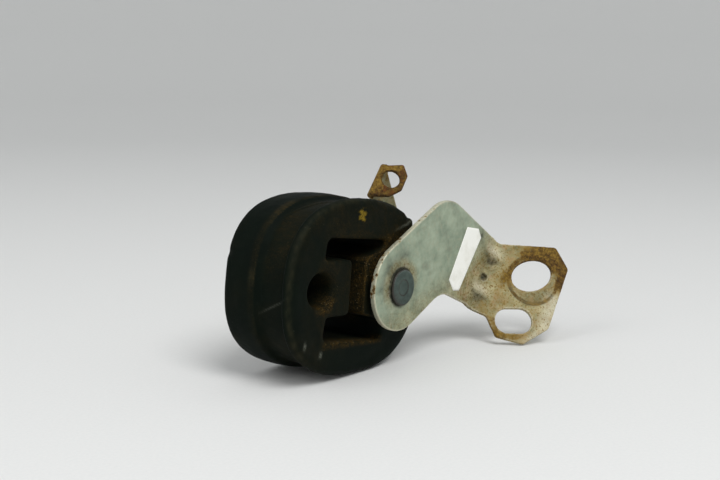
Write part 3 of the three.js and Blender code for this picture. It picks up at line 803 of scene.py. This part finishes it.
def new_tree(name, inputs):
    """A Geometry Nodes tree with named inputs, and the sockets that they arrive at."""
    tree = bpy.data.node_groups.new(name, "GeometryNodeTree")
    for title, kind in inputs.items():
        tree.interface.new_socket(title, in_out="INPUT", socket_type="NodeSocket" + kind)
    tree.interface.new_socket("Geometry", in_out="OUTPUT", socket_type="NodeSocketGeometry")
    return tree, add(tree, "NodeGroupInput").outputs


def give_back(tree, geometry, material):
    """Ends a tree with plain mesh that has its material."""
    real = add(tree, "GeometryNodeRealizeInstances", {"Geometry": geometry})
    coat = add(tree, "GeometryNodeSetMaterial", {"Geometry": real, "Material": material})
    add(tree, "NodeGroupOutput", {"Geometry": coat})
    return tree


def with_nodes(piece, tree, values):
    """Puts a Geometry Nodes tree on a piece, fills its named inputs and makes it plain mesh."""
    made = piece.modifiers.new(tree.name, "NODES")
    made.node_group = tree
    sockets = {s.name: s.identifier for s in tree.interface.items_tree if s.in_out == "INPUT"}
    for name, value in values.items():
        made[sockets[name]] = value
    plain_mesh(piece)


def outward(mesh):
    """Turns every face of a closed mesh outwards."""
    shell = bmesh.new()
    shell.from_mesh(mesh)
    bmesh.ops.recalc_face_normals(shell, faces=shell.faces)
    shell.to_mesh(mesh)
    shell.free()


print("node trees before the first is built:", len(bpy.data.node_groups))

# %% Rivet
RIVET_PROFILE = [
    (0, -5.65), (2.9, -5.65), (3.3, -5.9), (7.2, -5.9), (7.2, -4.8), (5, -4.8), (5, 39.3),
    (8.2, 39.3), (7.9, 40.6), (6.6, 41.8), (4.4, 42.6), (0, 42.9),
]
AXIS_RADIUS, POLE_GAP = 0.0001, 0.004  # a circle too small to see, and the merge that closes it


def turning_tree():
    tree, given = new_tree("turned about an axis", {
        "Profile": "Geometry", "Corner radius": "Float", "Profile step": "Float",
        "Steps of a turn": "Int", "Material": "Material"})
    line = add(tree, "GeometryNodeMeshToCurve", {"Mesh": given["Profile"]})
    rounded = add(tree, "GeometryNodeFilletCurve", {
        "Curve": line, "Radius": given["Corner radius"], "Count": 4, "Limit Radius": True},
        mode="POLY")
    even = add(tree, "GeometryNodeResampleCurve", {
        "Curve": rounded, "Length": given["Profile step"]}, mode="LENGTH")
    point = add(tree, "GeometryNodeCurvePrimitiveCircle", {
        "Resolution": given["Steps of a turn"], "Radius": AXIS_RADIUS * MM})
    swept = add(tree, "GeometryNodeCurveToMesh", {"Curve": point, "Profile Curve": even})
    closed = add(tree, "GeometryNodeMergeByDistance", {
        "Geometry": swept, "Distance": POLE_GAP * MM})
    return give_back(tree, closed, given["Material"])


profile = bpy.data.meshes.new("rivet_profile")
profile.from_pydata([(r * MM, y * MM, 0) for r, y in RIVET_PROFILE],
                    [(i, i + 1) for i in range(len(RIVET_PROFILE) - 1)], [])
rivet = new_object("turned_rivet", profile)
with_nodes(rivet, turning_tree(), {
    "Corner radius": 0.45 * MM, "Profile step": 0.25 * MM, "Steps of a turn": 96,
    "Material": headed_steel()})
to_axis = Matrix.Translation((RIVET_X * MM, 0, 0))
rivet.data.transform(drawing @ to_axis @ Matrix.Rotation(math.radians(90), 4, "X"))
outward(rivet.data)
hand_over(rivet, "rivet")

# %% Rivet dirt, painted shade and painted highlight
HAMMERED, MARK_RADIUS, RIM_RADIUS = 0.03, 3.1, 6.9

at, _ = seen(rivet)
from_axis = np.hypot(at[:, 0] - RIVET_X, at[:, 2])
head = ease(at[:, 1], FRONT_FACE + 0.3, FRONT_FACE)
uneven = HAMMERED * (1 + waves(at, 3, 41))
push(rivet, -uneven * ease(abs(at[:, 1] - FRONT_FACE + 0.5), 0.1, 0.5))
mark = spot((from_axis - MARK_RADIUS) / 0.35, 0)
# Dirt packs round the head's edge, and painted shade darkens its lower left. The upper part of the
# rim is painted lighter as a highlight.
rim_dirt_and_shade = ease(from_axis, 6.3, 7.3) + 0.5 * ease(at[:, 0] - RIVET_X + at[:, 2], -3, -9)
rim_highlight = spot((from_axis - RIM_RADIUS) / 0.4, 0) * ease(at[:, 2], -4, 4)
paint(rivet, grime=head * (0.8 * rim_dirt_and_shade + 0.6 * mark), edge=head * rim_highlight)

# %% [markdown]
# ## Paper label
#
# A stock label, die-cut with clipped corners and stuck in line with the bend. It could be
# painted on, but a real one has a thickness, a slightly lifted rim and a dead matt surface
# that the plating lacks, so it is a thin sheet of its own. It is left bare. Its fibres are
# finer than a pixel, and the cloudiness that they give is drawn at 0.8 mm.

# %% Label
LABEL_CORNERS = [(43.8, 23.2), (52.5, 22.4), (55, 18.5), (41, -3.4), (36.8, -3.3), (33, 1.4)]
LABEL_FACE = FRONT_FACE - 0.12
LABEL_BACK = FRONT_FACE + 0.02  # pressed into the plating
LABEL_LIFT, LABEL_WAVE = 0.05, 0.012


def label_mesh(rings=14, per_side=12):
    corners = [Vector(c) for c in LABEL_CORNERS]
    middle = sum(corners, Vector((0, 0))) / len(corners)
    sides = zip(corners, corners[1:] + corners[:1])
    rim = [a.lerp(b, k / per_side) for a, b in sides for k in range(per_side)]
    points = [place(RIVET_X + middle.x, y, middle.y) for y in (LABEL_FACE, LABEL_BACK)]
    for ring in range(1, rings + 1):
        share = ring / rings
        for flat in (middle.lerp(point, share) for point in rim):
            lift = LABEL_LIFT * share**6 + LABEL_WAVE * math.sin(flat.x * 1.1 + flat.y * 0.7)
            points.append(place(RIVET_X + flat.x, LABEL_FACE - lift, flat.y))
    points += [place(RIVET_X + point.x, LABEL_BACK, point.y) for point in rim]
    count = len(rim)
    faces = []
    for i in range(count):
        j = (i + 1) % count
        faces += [(0, 2 + i, 2 + j), (1, 2 + rings * count + j, 2 + rings * count + i)]
        for low in range(2, 2 + rings * count, count):
            faces.append((low + i, low + count + i, low + count + j, low + j))
    mesh = bpy.data.meshes.new("paper_label")
    mesh.from_pydata(points, [], faces)
    return mesh


def paper():
    material, tree, space = new_material("coated label paper")
    fibres = add(tree, "ShaderNodeTexNoise", {
        "Vector": space, "Scale": 1 / (0.8 * MM), "Detail": 6, "Roughness": 0.7})
    soil = add(tree, "ShaderNodeTexNoise", {"Vector": space, "Scale": 1 / (6 * MM), "Detail": 5})
    handled = add(tree, "ShaderNodeMapRange", {
        "Value": soil, "From Min": 0.52, "From Max": 0.85, "To Max": 0.5})
    base = add(tree, "ShaderNodeMix", {
        "Factor": fibres, "A": "#f6f6ee", "B": "#fdfdf8"}, data_type="RGBA")
    base = add(tree, "ShaderNodeMix", {
        "Factor": handled, "A": base, "B": "#c8c5b2"}, data_type="RGBA")
    rough = add(tree, "ShaderNodeMapRange", {"Value": fibres, "To Min": 0.6, "To Max": 0.8})
    bump = add(tree, "ShaderNodeBump", {"Height": fibres, "Strength": 0.15, "Distance": 0.05 * MM})
    shader = add(tree, "ShaderNodeBsdfPrincipled", {
        "Base Color": base, "Roughness": rough, "IOR": 1.45, "Normal": bump})
    add(tree, "ShaderNodeOutputMaterial", {"Surface": shader})
    return material


label = new_object("paper_label", label_mesh())
outward(label.data)
label.data.shade_smooth()
label.data.materials.append(paper())
hand_over(label)

# %% [markdown]
# ## Mud crumbs and rust scale
#
# Both are the same thing to a modeller: hundreds of tiny lumps, thickest where dirt is
# thickest. Geometry Nodes scatter points over a skin, with the painted dust or rust as the
# chance of each point, and put a small lump on each. The seed is fixed, so the lumps are
# the same every time, and realising them makes them plain mesh, which the export needs.

# %% Lumps
SMALLEST, LARGEST = (0.35, 0.35, 0.15), (1.4, 1.1, 0.5)  # share of the lump size, each way
LUMP_GRAIN, LUMP_SHOVE = 0.3, 0.16


def lump_tree():
    tree, given = new_tree("lumps", {
        "Surface": "Geometry", "Lump size": "Float", "Points per square metre": "Float",
        "Layer": "String", "Threshold": "Float", "Seed": "Int", "Material": "Material"})
    layer = add(tree, "GeometryNodeInputNamedAttribute", {
        "Name": given["Layer"]}, data_type="FLOAT")
    strong = add(tree, "ShaderNodeMapRange", {"Value": layer, "From Min": given["Threshold"]})
    density = add(tree, "ShaderNodeMath", {
        0: strong, 1: given["Points per square metre"]}, operation="MULTIPLY")
    scatter = add(tree, "GeometryNodeDistributePointsOnFaces", {
        "Mesh": given["Surface"], "Density": density, "Seed": given["Seed"]},
        distribute_method="RANDOM")
    ball = add(tree, "GeometryNodeMeshIcoSphere", {"Radius": given["Lump size"], "Subdivisions": 1})
    bumpy = add(tree, "ShaderNodeTexNoise", {"Scale": 1 / (LUMP_GRAIN * MM)}).outputs["Color"]
    shove = add(tree, "ShaderNodeVectorMath", {0: bumpy, 1: (0.5, 0.5, 0.5)}, operation="SUBTRACT")
    shove = add(tree, "ShaderNodeVectorMath", {
        0: shove, "Scale": LUMP_SHOVE * MM}, operation="SCALE")
    rock = add(tree, "GeometryNodeSetPosition", {"Geometry": ball, "Offset": shove})
    sizes = add(tree, "FunctionNodeRandomValue", {
        0: SMALLEST, 1: LARGEST, "Seed": given["Seed"]}, data_type="FLOAT_VECTOR")
    put = add(tree, "GeometryNodeInstanceOnPoints", {
        "Points": scatter, "Instance": rock, "Rotation": scatter.outputs["Rotation"],
        "Scale": sizes})
    return give_back(tree, put, given["Material"])


def scatter_lumps(name, source, values):
    piece = new_object(name, source.data.copy())
    with_nodes(piece, lumps, values)
    hand_over(piece)


def crumb(name, dark, light):
    material, tree, space = new_material(name)
    speck = add(tree, "ShaderNodeTexNoise", {"Vector": space, "Scale": 1 / (0.7 * MM), "Detail": 4})
    base = add(tree, "ShaderNodeMix", {"Factor": speck, "A": dark, "B": light}, data_type="RGBA")
    bump = add(tree, "ShaderNodeBump", {"Height": speck, "Strength": 0.5, "Distance": 0.1 * MM})
    shader = add(tree, "ShaderNodeBsdfPrincipled", {
        "Base Color": base, "Roughness": 0.93, "IOR": 1.4, "Normal": bump})
    add(tree, "ShaderNodeOutputMaterial", {"Surface": shader})
    return material


lumps = lump_tree()
scatter_lumps("mud_crumbs", rubber, {
    "Lump size": 0.28 * MM, "Points per square metre": 5e5, "Layer": "dust", "Threshold": 0.5,
    "Seed": 7, "Material": crumb("dried road mud", "#2a2312", "#5d4e2c")})
scatter_lumps("rust_scale", front, {
    "Lump size": 0.2 * MM, "Points per square metre": 4e5, "Layer": "rust", "Threshold": 0.55,
    "Seed": 5, "Material": crumb("rust scale", "#2b190c", "#8d5a1e")})

# %% [markdown]
# ## Studio
#
# The floor is a pale sheet that curves up all round, like a shallow bowl, so that no view
# sees a horizon. Two large soft lamps light it from above, the stronger one from the left
# where the photograph's light came from, and the pale sky fills the rest.

# %% Floor and light
BOWL = [(0.6, 0), (1.1, 0), (1.45, 0.03), (1.75, 0.14), (2.0, 0.36), (2.15, 0.7), (2.2, 1.3)]
BOWL_STEPS = 96


def studio_bowl():
    points = [(0, 0, 0)]
    for radius, height in BOWL:
        for k in range(BOWL_STEPS):
            angle = 2 * math.pi * k / BOWL_STEPS
            points.append((radius * math.cos(angle), radius * math.sin(angle), height))
    turns = [(k, (k + 1) % BOWL_STEPS) for k in range(BOWL_STEPS)]
    faces = [(0, 1 + a, 1 + b) for a, b in turns]
    for low in range(1, 1 + (len(BOWL) - 1) * BOWL_STEPS, BOWL_STEPS):
        high = low + BOWL_STEPS
        faces += [(low + a, high + a, high + b, low + b) for a, b in turns]
    mesh = bpy.data.meshes.new("studio_floor")
    mesh.from_pydata(points, [], faces)
    mesh.shade_smooth()
    return mesh


def backdrop_paper():
    material, tree, space = new_material("matt backdrop paper")
    tooth = add(tree, "ShaderNodeTexNoise", {"Vector": space, "Scale": 1 / (1.2 * MM), "Detail": 3})
    base = add(tree, "ShaderNodeMix", {
        "Factor": tooth, "A": "#dfe0df", "B": "#e8e8e6"}, data_type="RGBA")
    bump = add(tree, "ShaderNodeBump", {"Height": tooth, "Strength": 0.05, "Distance": 0.1 * MM})
    shader = add(tree, "ShaderNodeBsdfPrincipled", {
        "Base Color": base, "Roughness": 0.9, "Normal": bump})
    add(tree, "ShaderNodeOutputMaterial", {"Surface": shader})
    return material


def soft_lamp(name, at, size, power):
    lamp = bpy.data.lights.new(name, "AREA")
    lamp.shape, lamp.size, lamp.energy = "DISK", size, power
    rig = new_object(name, lamp)
    rig.location = at
    rig.rotation_euler = (-Vector(at)).to_track_quat("-Z", "Y").to_euler()


floor = new_object("studio_floor", studio_bowl())
floor.data.materials.append(backdrop_paper())
soft_lamp("key lamp", at=(-0.4, -0.75, 1.2), size=0.8, power=12)
soft_lamp("side lamp", at=(-1.1, 0.3, 0.9), size=0.8, power=3.6)

world = bpy.data.worlds.new("sky")
bpy.context.scene.world = world
world.use_nodes = True
world.node_tree.nodes.clear()
sky = add(world.node_tree, "ShaderNodeBackground", {"Color": "#f2f4f6", "Strength": 0.54})
add(world.node_tree, "ShaderNodeOutputWorld", {"Surface": sky})
bpy.context.scene.view_settings.view_transform = "Standard"
print("studio ready")
